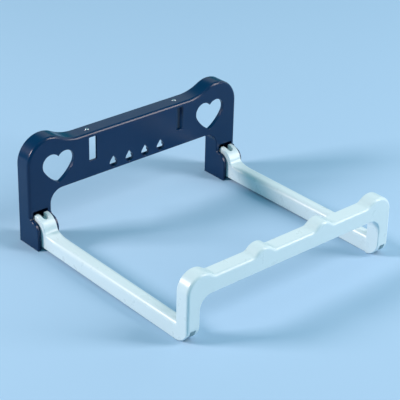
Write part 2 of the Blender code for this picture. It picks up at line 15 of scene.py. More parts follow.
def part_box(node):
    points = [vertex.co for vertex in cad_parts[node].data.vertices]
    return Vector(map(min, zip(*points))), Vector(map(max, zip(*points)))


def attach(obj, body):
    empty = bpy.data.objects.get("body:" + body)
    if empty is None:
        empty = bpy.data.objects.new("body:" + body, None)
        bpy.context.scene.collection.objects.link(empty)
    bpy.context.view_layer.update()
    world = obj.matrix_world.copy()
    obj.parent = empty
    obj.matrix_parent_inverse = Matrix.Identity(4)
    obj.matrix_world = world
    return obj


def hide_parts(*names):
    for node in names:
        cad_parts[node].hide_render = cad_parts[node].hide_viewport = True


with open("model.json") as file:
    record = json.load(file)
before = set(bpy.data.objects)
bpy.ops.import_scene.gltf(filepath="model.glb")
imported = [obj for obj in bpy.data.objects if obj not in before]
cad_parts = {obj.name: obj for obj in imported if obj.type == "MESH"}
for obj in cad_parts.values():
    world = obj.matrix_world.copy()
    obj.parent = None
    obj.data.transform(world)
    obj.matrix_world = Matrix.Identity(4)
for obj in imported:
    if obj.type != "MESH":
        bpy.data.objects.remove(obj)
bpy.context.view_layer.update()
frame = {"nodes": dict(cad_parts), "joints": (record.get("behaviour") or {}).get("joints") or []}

MM = 0.001

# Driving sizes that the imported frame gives
PANEL_LOW, PANEL_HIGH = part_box("back_panel")
FRAME_LOW, FRAME_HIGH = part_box("folding_frame")
AXIS = Vector(frame["joints"][0]["pos_m"])
AXIS_Y = -2 * MM
AXIS_Z = AXIS.z
FACE_Y = AXIS.y - AXIS_Y
HALF = PANEL_HIGH.x
PANEL_DEPTH = PANEL_HIGH.y - FACE_Y
EAR_RISE = 9.5 * MM
PANEL_TOP = PANEL_HIGH.z - EAR_RISE
RAIL_REACH = FACE_Y - FRAME_LOW.y
KNUCKLE_OUTER = FRAME_HIGH.x

# Panel
PLATE = 2.2 * MM
RIM = 2.5 * MM
EAR_RADIUS = 26 * MM
EAR_SWEEP = 50 * MM
ARCH_TOP = 51.5 * MM
ARCH_RADIUS = 14 * MM
FACE_FILLET = 3 * MM
ARCH_FILLET = 1 * MM
BACK_FILLET = 0.5 * MM
ROOT_FILLET = 0.8 * MM
LIP_DEPTH = 4.5 * MM
LIP_TOP = 55.7 * MM
LIP_SPAN = 84 * MM
LIP_RAMP = 12 * MM
LIP_FLOOR = 1 * MM

# Legs and their clevises
LEG_INNER = HALF - 25 * MM
CHEEK = 4 * MM
CHEEK_RADIUS = 10.2 * MM
CHEEK_SWEEP = 2 * MM
CHEEK_EDGE = 0.7 * MM
POCKET_TOP = 35.5 * MM
REAR_WEB = 2.5 * MM
SHELF = 2.5 * MM
PIN_SKIN = 1 * MM
BORE = 2.1 * MM

# Openings in the panel
HEART_X = 94.8 * MM
HEART_TIP = 57.8 * MM
LOBE_RADIUS = 10.2 * MM
LOBE_OFFSET = 8 * MM
LOBE_HEIGHT = 21 * MM
HEART_FLANK = 44.3 * MM
HEART_DEPTH = 4.2 * MM
HEART_RIM = 2.2 * MM
HEART_EDGE = 0.5 * MM
SLOT_X = 54.4 * MM
SLOT_WIDTH = 8.8 * MM
SLOT_LOW = 69 * MM
SLOT_HIGH = 93.6 * MM
SLOT_CORNER = 0.8 * MM
SMALL_EDGE = 0.3 * MM
TEARS = 4
TEAR_PITCH = 19.8 * MM
TEAR_LOW = 53.9 * MM
TEAR_RADIUS = 4.6 * MM
TEAR_HEIGHT = 12.3 * MM
TEAR_PLATE = 3 * MM
TEAR_DEPTH = 3.6 * MM
TEAR_PAD_TOP = 69 * MM
TEAR_RIB_DEPTH = 10 * MM
TEAR_RIB_TOP = 74 * MM
SLOT_RIB = 2.2 * MM
SLOT_RIB_GAP = 0.5 * MM

# Strap bars
BAR_RADIUS = 1.5 * MM
BAR_HEAD = 2.1 * MM
BAR_DOME = 0.9 * MM
BAR_Y = 9.5 * MM
BAR_LOW = 58.8 * MM
SOCKET_LOW = 57.5 * MM
SOCKET_HIGH = 64 * MM
SOCKET_HALF = 3 * MM
SOCKET_FLOOR = 1 * MM
BAR_CHAMFER = 0.3 * MM
RUNNING_FIT = 0.1 * MM

# Folding frame
KNUCKLE_INNER = LEG_INNER + CHEEK + 0.7 * MM
KNUCKLE_MIDDLE = (KNUCKLE_OUTER + KNUCKLE_INNER) / 2
KNUCKLE_RADIUS = 14.8 * MM
KNUCKLE_WALL = 2.5 * MM
KNUCKLE_SWEEP = 5 * MM
KNUCKLE_EDGE = 1.3 * MM
KNUCKLE_BACK = 1 * MM
HUB_RADIUS = 4.2 * MM
HUB_SKIN = 1 * MM
NOTCH_HALF = 2.8 * MM
NOTCH_REACH = 8.2 * MM
NOTCH_DEPTH = 4.6 * MM
NOTCH_EDGE = 0.6 * MM
NOTCH_PAST_TOP = 6 * MM
ARM_HEIGHT = 18 * MM
ARM_WIDTH = 12.7 * MM
ARM_EDGE = 5 * MM
ARM_LOW_EDGE = 0.9 * MM
ARM_EDGE_RUN = 16 * MM
ARM_EDGE_STEPS = 6
ARM_HOLLOW_END = 7 * MM
WALL = 2.5 * MM
RAIL_DEPTH = 15 * MM
RAIL_TOP = 59.8 * MM
RAIL_BOTTOM = 43.4 * MM
RAIL_ARCH = 13 * MM
UPRIGHT = 14.1 * MM
HORN_RISE = 5.7 * MM
HORN_RADIUS = 17 * MM
HORN_SWEEP = 10 * MM
BUMP_X = 36.5 * MM
BUMP_RISE = 5.9 * MM
BUMP_RADIUS = 13 * MM
BUMP_SWEEP = 8 * MM
FOOT_RADIUS = 16 * MM
FOOT_OPENING = 12.7 * MM
FOOT_WALL = 3.8 * MM
FOOT_EDGE = 0.9 * MM
RIB = 1.8 * MM
RAIL_RIBS = 7
RAIL_RIB_PITCH = 31 * MM
ARM_RIBS = 5
ARM_RIB_PITCH = 33 * MM
RAIL_BACK = RAIL_DEPTH - RAIL_REACH
UPRIGHT_INNER = KNUCKLE_OUTER - UPRIGHT

# How finely round shapes are cut, and how far cutters pass the material
ARC_STEP = 4
EDGE_STEPS = 5
ROUND_STEPS = 64
NOTCH_STEPS = 12
BEYOND = 10 * MM
PAST = 5 * MM
JUST_PAST = 2 * MM
NEAR = 0.01 * MM
QUARTER = [math.radians(90 * step / EDGE_STEPS) for step in range(EDGE_STEPS + 1)]


# Outlines, as (u, v) points


def arc(center, radius, start, end):
    """An arc's points from the start angle to the end angle, in degrees, both ends included."""
    steps = max(1, math.ceil(abs(end - start) / ARC_STEP))
    angles = [math.radians(start + (end - start) * step / steps) for step in range(steps + 1)]
    return [(center[0] + radius * math.cos(a), center[1] + radius * math.sin(a)) for a in angles]


def circle(center, radius):
    return arc(center, radius, 0, 360)[:-1]


def rectangle(low, high):
    return [(low[0], low[1]), (high[0], low[1]), (high[0], high[1]), (low[0], high[1])]


def crown(center_x, base, rise, radius, sweep, full):
    """A round crown that rises from a level edge through hollow sweeps, from right to left."""
    drop = radius + sweep - rise
    reach = math.sqrt((radius + sweep) ** 2 - drop**2)
    meet = math.degrees(math.atan2(drop, -reach))
    top = (center_x, base + rise - radius)
    points = arc((center_x + reach, base + sweep), sweep, -90, -meet)[:-1] if full else []
    points += arc(top, radius, 180 - meet if full else 0, meet)
    return points + arc((center_x - reach, base + sweep), sweep, meet - 180, -90)[1:]


def mirrored(half):
    return half + [(-u, v) for u, v in reversed(half)]


def panel_outline(foot=0.0):
    half = arc((LEG_INNER - ARCH_RADIUS, ARCH_TOP - ARCH_RADIUS), ARCH_RADIUS, 90, 0)
    half += [(LEG_INNER, foot), (HALF, foot)]
    return mirrored(half + crown(HALF - EAR_RADIUS, PANEL_TOP, EAR_RISE, EAR_RADIUS, EAR_SWEEP, full=False))


def rail_outline(foot=0.0):
    half = arc((UPRIGHT_INNER - RAIL_ARCH, RAIL_BOTTOM - RAIL_ARCH), RAIL_ARCH, 90, 0)
    half += [(UPRIGHT_INNER, foot), (KNUCKLE_OUTER, foot)]
    half += crown(KNUCKLE_OUTER - HORN_RADIUS, RAIL_TOP, HORN_RISE, HORN_RADIUS, HORN_SWEEP, full=False)
    return mirrored(half + crown(BUMP_X, RAIL_TOP, BUMP_RISE, BUMP_RADIUS, BUMP_SWEEP, full=True))


def heart_outline(center_x):
    """Two round lobes whose flanks are wide arcs that meet at the tip."""
    lobe = (LOBE_OFFSET, HEART_TIP + LOBE_HEIGHT)
    back = HEART_FLANK - LOBE_RADIUS
    distance = math.hypot(LOBE_OFFSET, LOBE_HEIGHT)
    turn = math.acos((back**2 + distance**2 - HEART_FLANK**2) / (2 * back * distance))
    angle = math.atan2(LOBE_HEIGHT, LOBE_OFFSET) - turn
    flank = (lobe[0] - back * math.cos(angle), lobe[1] - back * math.sin(angle))
    joint = math.degrees(angle)
    notch = math.degrees(math.acos(-LOBE_OFFSET / LOBE_RADIUS))
    tip = -math.degrees(math.acos(-flank[0] / HEART_FLANK))
    half = arc(flank, HEART_FLANK, tip, joint) + arc(lobe, LOBE_RADIUS, joint, notch)[1:]
    left = [(-x, z) for x, z in reversed(half)]
    return [(center_x + x, z) for x, z in half + left[1:-1]]


def tear_outline(center_x):
    """A hole with a round bottom and a pointed top."""
    lean = math.degrees(math.asin(TEAR_RADIUS / (TEAR_HEIGHT - TEAR_RADIUS)))
    bowl = arc((center_x, TEAR_LOW + TEAR_RADIUS), TEAR_RADIUS, 180 - lean, 360 + lean)
    return bowl + [(center_x, TEAR_LOW + TEAR_HEIGHT)]


def slot_outline(center_x):
    """An upright rectangle with small round corners."""
    reach = SLOT_WIDTH / 2 - SLOT_CORNER
    low, high = SLOT_LOW + SLOT_CORNER, SLOT_HIGH - SLOT_CORNER
    points = []
    for x, z, start in ((reach, low, -90), (reach, high, 0), (-reach, high, 90), (-reach, low, 180)):
        points += arc((center_x + x, z), SLOT_CORNER, start, start + 90)
    return points


def cheek_outline():
    """A leg's cheek from the side: upright in front, round over the axis, then swept into the plate."""
    top = AXIS_Z + CHEEK_RADIUS
    back = PANEL_DEPTH - REAR_WEB / 2
    nose = arc((AXIS_Y, AXIS_Z), CHEEK_RADIUS, 180, 90)
    sweep = arc((-CHEEK_SWEEP, top + CHEEK_SWEEP), CHEEK_SWEEP, 270, 360)
    return [(back, 0), (AXIS_Y - CHEEK_RADIUS, 0)] + nose + sweep[1:] + [(back, sweep[-1][1])]


def arm_outline():
    """An arm from the side: a round knuckle on the fold axis, swept down to the flat top."""
    reach = math.sqrt((KNUCKLE_RADIUS + KNUCKLE_SWEEP) ** 2 - KNUCKLE_SWEEP**2)
    meet = 180 - math.degrees(math.atan2(KNUCKLE_SWEEP, reach))
    knuckle = arc((AXIS_Y, AXIS_Z), KNUCKLE_RADIUS, -90, meet)
    sweep = arc((AXIS_Y - reach, AXIS_Z + KNUCKLE_SWEEP), KNUCKLE_SWEEP, meet - 180, -90)[1:]
    front = RAIL_BACK - RAIL_DEPTH / 2
    top_start = sweep[-1][0]
    stride = ARM_EDGE_RUN / ARM_EDGE_STEPS
    top = [(top_start - stride * (step + 1), ARM_HEIGHT) for step in range(ARM_EDGE_STEPS)]
    return [(front, 0), (FOOT_RADIUS - RAIL_REACH, 0)] + knuckle + sweep + top + [(front, ARM_HEIGHT)]


def foot_waste():
    """What the round front foot leaves away, from the side."""
    center = (FOOT_RADIUS - RAIL_REACH, FOOT_RADIUS)
    front = -RAIL_REACH - BEYOND
    corners = [(front, FOOT_RADIUS), (front, -BEYOND), (center[0], -BEYOND)]
    return arc(center, FOOT_RADIUS, 270, 180) + corners


# Solids

PLANES = {
    "front": lambda u, v, depth: (u, depth, v),
    "side": lambda u, v, depth: (depth, u, v),
    "top": lambda u, v, depth: (u, v, depth),
}


def inward_directions(outline):
    """For each point, the move that shifts both of its edges inwards by one."""
    area = sum(a[0] * b[1] - b[0] * a[1] for a, b in zip(outline, outline[1:] + outline[:1]))
    sign = 1 if area > 0 else -1
    normals = []
    for a, b in zip(outline, outline[1:] + outline[:1]):
        along = Vector((b[0] - a[0], b[1] - a[1])).normalized()
        normals.append(sign * Vector((-along.y, along.x)))
    moves = []
    for before, after in zip(normals[-1:] + normals[:-1], normals):
        moves.append((before + after) / (1 + before.dot(after)))
    return moves


def loft(name, outline, profile, plane):
    """A closed solid through an outline. profile(u, v) gives a point's (depth, inset) pairs in order."""
    place = PLANES[plane]
    moves = inward_directions(outline)
    sides = [profile(u, v) for u, v in outline]
    cage = bmesh.new()
    rows = []
    for level in range(len(sides[0])):
        row = []
        for (u, v), move, side in zip(outline, moves, sides):
            depth, inset = side[level]
            row.append(cage.verts.new(place(u + move.x * inset, v + move.y * inset, depth)))
        rows.append(row)
    for lower, upper in zip(rows, rows[1:]):
        for i in range(len(outline)):
            cage.faces.new((lower[i - 1], lower[i], upper[i], upper[i - 1]))
    cage.faces.new(rows[0])
    cage.faces.new(rows[-1])
    bmesh.ops.remove_doubles(cage, verts=cage.verts, dist=NEAR / 10)
    bmesh.ops.recalc_face_normals(cage, faces=cage.faces)
    mesh = bpy.data.meshes.new(name)
    cage.to_mesh(mesh)
    cage.free()
    obj = bpy.data.objects.new(name, mesh)
    bpy.context.scene.collection.objects.link(obj)
    return obj


def quarter_round(radius):
    """A round edge's (depth, inset) pairs, from the face inwards."""
    return [(radius * (1 - math.cos(turn)), radius * (1 - math.sin(turn))) for turn in QUARTER]


def rounded(low, high, front=0.0, back=0.0):
    """The side of a solid between two depths, with round front and back edges."""
    rows = [(low + depth, inset) for depth, inset in quarter_round(front)]
    return rows + [(high - depth, inset) for depth, inset in reversed(quarter_round(back))]


def flare(face, edge, towards=1):
    """A cutter's rows at a face: they open outwards, so that the lip of the hole is round."""
    return [(face + towards * depth, -inset) for depth, inset in quarter_round(edge)]


def through(low, high, edge, beyond=BEYOND):
    """The side of a cutter that passes two faces and rounds both of its lips."""
    lips = [*flare(low, edge), *reversed(flare(high, edge, -1))]
    return [(low - BEYOND, -edge), *lips, (high + beyond, -edge)]


def even(rows):
    """A profile that is the same all round the outline."""
    return lambda u, v: rows


def block(name, low, high, edge=0.0):
    """A box between two corners, with its edges along Y rounded at the back."""
    outline = rectangle((low[0], low[2]), (high[0], high[2]))
    return loft(name, outline, even(rounded(low[1], high[1], 0, edge)), "front")


def cut(obj, tools, operation="DIFFERENCE"):
    for tool in tools:
        modifier = obj.modifiers.new(tool.name, "BOOLEAN")
        modifier.operation = operation
        modifier.solver = "MANIFOLD"
        modifier.object = tool
    bpy.context.view_layer.update()
    graph = bpy.context.evaluated_depsgraph_get()
    mesh = bpy.data.meshes.new_from_object(obj.evaluated_get(graph))
    obj.modifiers.clear()
    obj.data = mesh
    for tool in tools:
        bpy.data.objects.remove(tool)
    return obj


def join(obj, tools):
    return cut(obj, tools, "UNION")


def left_twin(obj):
    """A copy mirrored to the other side."""
    mesh = obj.data.copy()
    mesh.transform(Matrix.Diagonal((-1, 1, 1, 1)))
    mesh.flip_normals()
    twin = bpy.data.objects.new(obj.name + "_twin", mesh)
    bpy.context.scene.collection.objects.link(twin)
    return twin


def both(*objs):
    return [copy for obj in objs for copy in (obj, left_twin(obj))]


def turned(name, profile):
    """A profile of (radius, height) pairs, top to bottom, turned about Z."""
    cage = bmesh.new()
    rings = []
    for radius, height in profile:
        count = ROUND_STEPS if radius > 0 else 1
        angles = [math.tau * step / count for step in range(count)]
        rings.append([cage.verts.new((radius * math.cos(a), radius * math.sin(a), height)) for a in angles])
    for upper, lower in zip(rings, rings[1:]):
        for i in range(ROUND_STEPS):
            corners = [upper[i % len(upper)], upper[(i + 1) % len(upper)]]
            corners += [lower[(i + 1) % len(lower)], lower[i % len(lower)]]
            cage.faces.new(dict.fromkeys(corners))
    bmesh.ops.recalc_face_normals(cage, faces=cage.faces)
    mesh = bpy.data.meshes.new(name)
    cage.to_mesh(mesh)
    cage.free()
    obj = bpy.data.objects.new(name, mesh)
    bpy.context.scene.collection.objects.link(obj)
    return obj


# Panel


def panel_moulding():
    """The upright panel: a plate with a rim behind it, and two legs that end in clevises."""

    def side(u, v):
        in_arch = abs(u) < LEG_INNER + NEAR and v < ARCH_TOP + NEAR
        return rounded(0, PANEL_DEPTH, ARCH_FILLET if in_arch else FACE_FILLET, BACK_FILLET)

    panel = loft("panel_moulding", panel_outline(), side, "front")
    cheeks = [cheek("outer_cheek", HALF - CHEEK, HALF), cheek("inner_cheek", LEG_INNER, LEG_INNER + CHEEK)]
    join(panel, both(*cheeks))
    cut(panel, [tray()])
    cut(panel, [lip_relief(), *both(hinge_pocket())])
    holes = []
    for x in (-HEART_X, HEART_X):
        holes.append(loft("heart", heart_outline(x), even(through(0, HEART_DEPTH, HEART_EDGE)), "front"))
    for x in (-SLOT_X, SLOT_X):
        holes.append(loft("slot", slot_outline(x), even(through(0, PLATE, SMALL_EDGE)), "front"))
    tear_side = even(through(0, TEAR_PLATE, SMALL_EDGE, TEAR_DEPTH - TEAR_PLATE))
    for place in range(TEARS):
        outline = tear_outline((place - (TEARS - 1) / 2) * TEAR_PITCH)
        holes.append(loft("tear", outline, tear_side, "front"))
    cut(panel, holes)
    bar_side = even(rounded(SOCKET_LOW + SOCKET_FLOOR, PANEL_TOP + BEYOND))
    bar_hole = loft("bar_hole", circle((SLOT_X, BAR_Y), BAR_RADIUS + RUNNING_FIT), bar_side, "top")
    pin_side = even(rounded(LEG_INNER + PIN_SKIN, HALF - PIN_SKIN))
    pin_socket = loft("pin_socket", circle((AXIS_Y, AXIS_Z), BORE), pin_side, "side")
    cut(panel, both(bar_hole, pin_socket))
    return panel


def cheek(name, low, high):
    def side(u, v):
        edge = CHEEK_EDGE if u < -CHEEK_SWEEP and v > NEAR else 0
        return rounded(low, high, edge, edge)

    return loft(name, cheek_outline(), side, "side")


def tray():
    """The hollow behind the plate, less the ribs and rims that stand in it."""
    rows = rounded(PLATE, PANEL_DEPTH, ROOT_FILLET)[: len(QUARTER)]
    rows += [*reversed(flare(PANEL_DEPTH, BACK_FILLET / 2, -1)), (PANEL_DEPTH + BEYOND, -BACK_FILLET / 2)]
    rows = [(depth, RIM + inset) for depth, inset in rows]
    hollow = loft("tray", panel_outline(POCKET_TOP + SHELF - RIM), even(rows), "front")
    rib_x = SLOT_X + SLOT_WIDTH / 2 + SLOT_RIB_GAP
    rib = block("slot_rib", (rib_x, 0, ARCH_TOP), (rib_x + SLOT_RIB, PANEL_DEPTH, PANEL_TOP))
    low = (SLOT_X - SOCKET_HALF, 0, SOCKET_LOW)
    socket = block("bar_socket", low, (SLOT_X + SOCKET_HALF, BAR_Y + SOCKET_HALF, SOCKET_HIGH), BACK_FILLET)
    rim_rows = [(depth, inset - HEART_RIM) for depth, inset in rounded(0, HEART_DEPTH, 0, BACK_FILLET)]
    rim = loft("heart_rim", heart_outline(HEART_X), even(rim_rows), "front")
    standing = both(rib, socket, rim)
    lip_side = even(rounded(0, LIP_DEPTH, 0, BACK_FILLET))
    standing.append(loft("lip", rectangle((-LIP_SPAN, 0), (LIP_SPAN, LIP_TOP)), lip_side, "front"))
    reach = TEARS / 2 * TEAR_PITCH
    standing.append(block("tear_pad", (-reach, 0, 0), (reach, TEAR_PLATE, TEAR_PAD_TOP), BACK_FILLET))
    for place in range(TEARS + 1):
        x = (place - TEARS / 2) * TEAR_PITCH
        low, high = (x - RIB / 2, 0, ARCH_TOP), (x + RIB / 2, TEAR_RIB_DEPTH, TEAR_RIB_TOP)
        standing.append(block("tear_rib", low, high, BACK_FILLET))
    return cut(hollow, standing)


def lip_relief():
    """What is left away behind the lip along the arch's top edge."""
    back = PANEL_DEPTH + BEYOND
    ramp = LIP_RAMP * (back - LIP_DEPTH) / (PANEL_DEPTH - LIP_DEPTH)
    wide = LIP_SPAN + ramp
    outline = [(-LIP_SPAN, LIP_DEPTH), (LIP_SPAN, LIP_DEPTH), (wide, back), (-wide, back)]
    return loft("lip_relief", outline, even(rounded(ARCH_TOP - BEYOND / 2, LIP_TOP - LIP_FLOOR)), "top")


def hinge_pocket():
    low = (LEG_INNER + CHEEK, AXIS_Y - CHEEK_RADIUS - BEYOND, -BEYOND)
    return block("hinge_pocket", low, (HALF - CHEEK, PANEL_DEPTH - REAR_WEB, POCKET_TOP))


# Folding frame


def frame_moulding():
    """The U-shaped frame: two arms with knuckles, and a front rail on two uprights."""

    def side(u, v):
        in_arch = abs(u) < UPRIGHT_INNER + NEAR and v < RAIL_BOTTOM + NEAR
        return rounded(-RAIL_REACH, RAIL_BACK, ARCH_FILLET if in_arch else FACE_FILLET, BACK_FILLET)

    moulding = loft("frame_moulding", rail_outline(), side, "front")
    join(moulding, both(arm()))
    foot_side = even(through(UPRIGHT_INNER, KNUCKLE_OUTER, FOOT_EDGE, JUST_PAST))
    waste = loft("foot_waste", foot_waste(), foot_side, "side")
    low = (UPRIGHT_INNER + FOOT_WALL, -RAIL_REACH - BEYOND, -BEYOND)
    high = (KNUCKLE_OUTER - FOOT_WALL, RAIL_BACK - RAIL_DEPTH / 2, FOOT_OPENING)
    opening = block("foot_opening", low, high)
    cut(moulding, [*both(waste, opening, arm_hollow(), knuckle_hollow()), rail_hollow()])
    hub_top = AXIS_Z + HUB_RADIUS + HUB_SKIN
    reach = KNUCKLE_RADIUS + BEYOND
    low = (KNUCKLE_INNER - PAST, AXIS_Y + KNUCKLE_BACK, hub_top)
    high = (KNUCKLE_OUTER + PAST, AXIS_Y + reach, AXIS_Z + reach)
    back = block("knuckle_back", low, high)
    bore_side = even(rounded(KNUCKLE_INNER - PAST, KNUCKLE_OUTER + PAST))
    bore = loft("pin_bore", circle((AXIS_Y, AXIS_Z), BORE), bore_side, "side")
    cut(moulding, both(back, bore, knuckle_notch()))
    return moulding


def arm():
    """The right arm: wide soft top edges that tighten over the knuckle, and a slanted inner side."""
    soft_from = AXIS_Y - KNUCKLE_RADIUS

    def side(u, v):
        on_top = v > AXIS_Z - NEAR or (u > AXIS_Y and v > AXIS_Z)
        if not on_top:
            edge = ARM_LOW_EDGE
        else:
            share = min(max((soft_from - u) / ARM_EDGE_RUN, 0), 1)
            edge = KNUCKLE_EDGE + (ARM_EDGE - KNUCKLE_EDGE) * share * share * (3 - 2 * share)
        return rounded(KNUCKLE_INNER, KNUCKLE_OUTER, edge, edge)

    return slanted(loft("arm", arm_outline(), side, "side"), KNUCKLE_MIDDLE)


def slanted(obj, limit):
    """Slants an arm's inner side, so that the arm is full width at its knuckle and narrower at the rail."""
    start = AXIS_Y - KNUCKLE_RADIUS
    slant = (KNUCKLE_OUTER - KNUCKLE_INNER - ARM_WIDTH) / (start - RAIL_BACK)
    cage = bmesh.new()
    cage.from_mesh(obj.data)
    for y in (start, RAIL_BACK):
        everything = cage.verts[:] + cage.edges[:] + cage.faces[:]
        bmesh.ops.bisect_plane(cage, geom=everything, plane_co=(0, y, 0), plane_no=(0, 1, 0), dist=NEAR)
    for vertex in cage.verts:
        if vertex.co.x < limit:
            vertex.co.x += slant * min(max(start - vertex.co.y, 0), start - RAIL_BACK)
    cage.to_mesh(obj.data)
    cage.free()
    return obj


def arm_hollow():
    """The channel under an arm, open downwards and crossed by ribs."""
    low = (KNUCKLE_INNER + WALL, -RAIL_REACH + WALL)
    high = (KNUCKLE_OUTER - WALL, AXIS_Y - ARM_HOLLOW_END)
    rows = even(rounded(-BEYOND, ARM_HEIGHT - WALL, 0, ROOT_FILLET))
    channel = slanted(loft("arm_hollow", rectangle(low, high), rows, "top"), KNUCKLE_MIDDLE)
    ribs = []
    for place in range(ARM_RIBS):
        y = AXIS_Y - KNUCKLE_RADIUS - (place + 1) * ARM_RIB_PITCH
        low, high = (KNUCKLE_INNER, y - RIB / 2, RIB), (KNUCKLE_OUTER, y + RIB / 2, ARM_HEIGHT)
        ribs.append(block("arm_rib", low, high))
    return cut(channel, ribs)


def knuckle_hollow():
    """The hollow in the lower half of a knuckle, around the hub that carries the pin."""
    low, high = KNUCKLE_INNER + WALL, KNUCKLE_OUTER - WALL
    axis = (AXIS_Y, AXIS_Z)
    rows = even(rounded(low, high, ROOT_FILLET, ROOT_FILLET))
    hollow = loft("knuckle_hollow", circle(axis, KNUCKLE_RADIUS - KNUCKLE_WALL), rows, "side")
    hub = loft("hub", circle(axis, HUB_RADIUS), even(rounded(low - MM, high + MM)), "side")
    core_high = (high + MM, AXIS_Y + KNUCKLE_RADIUS, AXIS_Z + KNUCKLE_RADIUS)
    return cut(hollow, [hub, block("core", (low - MM, AXIS_Y - KNUCKLE_RADIUS, AXIS_Z), core_high)])


def knuckle_notch():
    """The U-shaped notch over a knuckle, with round lips, drawn flat and wrapped around the fold axis."""
    reach = KNUCKLE_RADIUS * math.asin(NOTCH_REACH / KNUCKLE_RADIUS)
    tip = arc((KNUCKLE_MIDDLE, reach - NOTCH_HALF), NOTCH_HALF, 0, 180)
    start = tip[-1][1]
    stride = (-NOTCH_PAST_TOP - start) / NOTCH_STEPS
    left = [(KNUCKLE_MIDDLE - NOTCH_HALF, start + stride * (step + 1)) for step in range(NOTCH_STEPS)]
    right = [(2 * KNUCKLE_MIDDLE - u, v) for u, v in reversed(left)]
    rows = [(-JUST_PAST, -NOTCH_EDGE), *flare(0, NOTCH_EDGE), (NOTCH_DEPTH + MM, 0)]
    notch = loft("knuckle_notch", tip + left + right, even(rows), "top")
    for vertex in notch.data.vertices:
        turn = vertex.co.y / KNUCKLE_RADIUS
        radius = KNUCKLE_RADIUS - vertex.co.z
        vertex.co.y = AXIS_Y - radius * math.sin(turn)
        vertex.co.z = AXIS_Z + radius * math.cos(turn)
    floor = circle((AXIS_Y, AXIS_Z), KNUCKLE_RADIUS - NOTCH_DEPTH)
    floor_side = even(rounded(KNUCKLE_INNER, KNUCKLE_OUTER))
    return cut(notch, [loft("notch_floor", floor, floor_side, "side")])


def rail_hollow():
    """The hollow behind the rail's front, open at the back and crossed by upright ribs."""
    rows = rounded(-RAIL_REACH + WALL, RAIL_BACK, ROOT_FILLET)[: len(QUARTER)]
    rows += [*reversed(flare(RAIL_BACK, BACK_FILLET / 2, -1)), (RAIL_BACK + BEYOND, -BACK_FILLET / 2)]
    rows = [(depth, WALL + inset) for depth, inset in rows]
    hollow = loft("rail_hollow", rail_outline(ARM_HEIGHT), even(rows), "front")
    ribs = []
    for place in range(RAIL_RIBS):
        x = (place - (RAIL_RIBS - 1) / 2) * RAIL_RIB_PITCH
        low = (x - RIB / 2, -RAIL_REACH, RAIL_BOTTOM - WALL)
        ribs.append(block("rail_rib", low, (x + RIB / 2, RAIL_BACK, RAIL_TOP + BEYOND), BACK_FILLET))
    return cut(hollow, ribs)


# Pins


def strap_pin(name, side):
    """A domed steel pin dropped through the top rim, past the back of a slot, into its socket."""
    seat = PANEL_TOP + RUNNING_FIT
    dome = [(BAR_HEAD * math.sin(turn), seat + BAR_DOME * math.cos(turn)) for turn in QUARTER]
    tip = [(BAR_RADIUS, BAR_LOW + BAR_CHAMFER), (BAR_RADIUS - BAR_CHAMFER, BAR_LOW), (0, BAR_LOW)]
    pin = turned(name, dome + [(BAR_RADIUS, seat)] + tip)
    pin.data.transform(Matrix.Translation((side * SLOT_X, BAR_Y, 0)))
    return pin


# Materials

RUBBED_HEIGHT = 1.4 * MM
SINK_DEPTH = 0.25 * MM
GRAIN_DEPTH = 0.04 * MM
DRAW_DEPTH = 0.02 * MM
TOOTH_DEPTH = 0.05 * MM


class Nodes:
    """A material's node tree, with short calls to add to it."""

    def __init__(self, name):
        self.material = bpy.data.materials.new(name)
        self.material.use_nodes = True
        self.tree = self.material.node_tree
        self.shader = self.tree.nodes["Principled BSDF"]

    def add(self, kind, inputs=(), **settings):
        node = self.tree.nodes.new(kind)
        for key, value in settings.items():
            setattr(node, key, value)
        for key, value in dict(inputs).items():
            if isinstance(value, bpy.types.NodeSocket):
                self.tree.links.new(value, node.inputs[key])
            else:
                node.inputs[key].default_value = value
        return node

    def link(self, socket, name):
        self.tree.links.new(socket, self.shader.inputs[name])

    def place(self, scale=(1, 1, 1)):
        """The object's own coordinates, in metres, stretched by scale."""
        source = self.add("ShaderNodeTexCoord").outputs["Object"]
        return self.add("ShaderNodeMapping", {"Vector": source, "Scale": scale}).outputs["Vector"]

    def noise(self, scale, detail=3.0, stretch=(1, 1, 1)):
        inputs = {"Vector": self.place(stretch), "Scale": scale, "Detail": detail}
        return self.add("ShaderNodeTexNoise", inputs).outputs["Fac"]

    def spread(self, value, low, high, out_low, out_high):
        inputs = {"Value": value, "From Min": low, "From Max": high, "To Min": out_low, "To Max": out_high}
        return self.add("ShaderNodeMapRange", inputs).outputs["Result"]

    def math(self, operation, a, b):
        return self.add("ShaderNodeMath", {0: a, 1: b}, operation=operation).outputs[0]

    def blend(self, share, a, b):
        inputs = {"Factor": share, 6: a, 7: b}
        return self.add("ShaderNodeMix", inputs, data_type="RGBA").outputs[2]

    def bump(self, height, strength, distance, normal=None):
        inputs = {"Height": height, "Strength": strength, "Distance": distance}
        if normal:
            inputs["Normal"] = normal
        return self.add("ShaderNodeBump", inputs).outputs["Normal"]


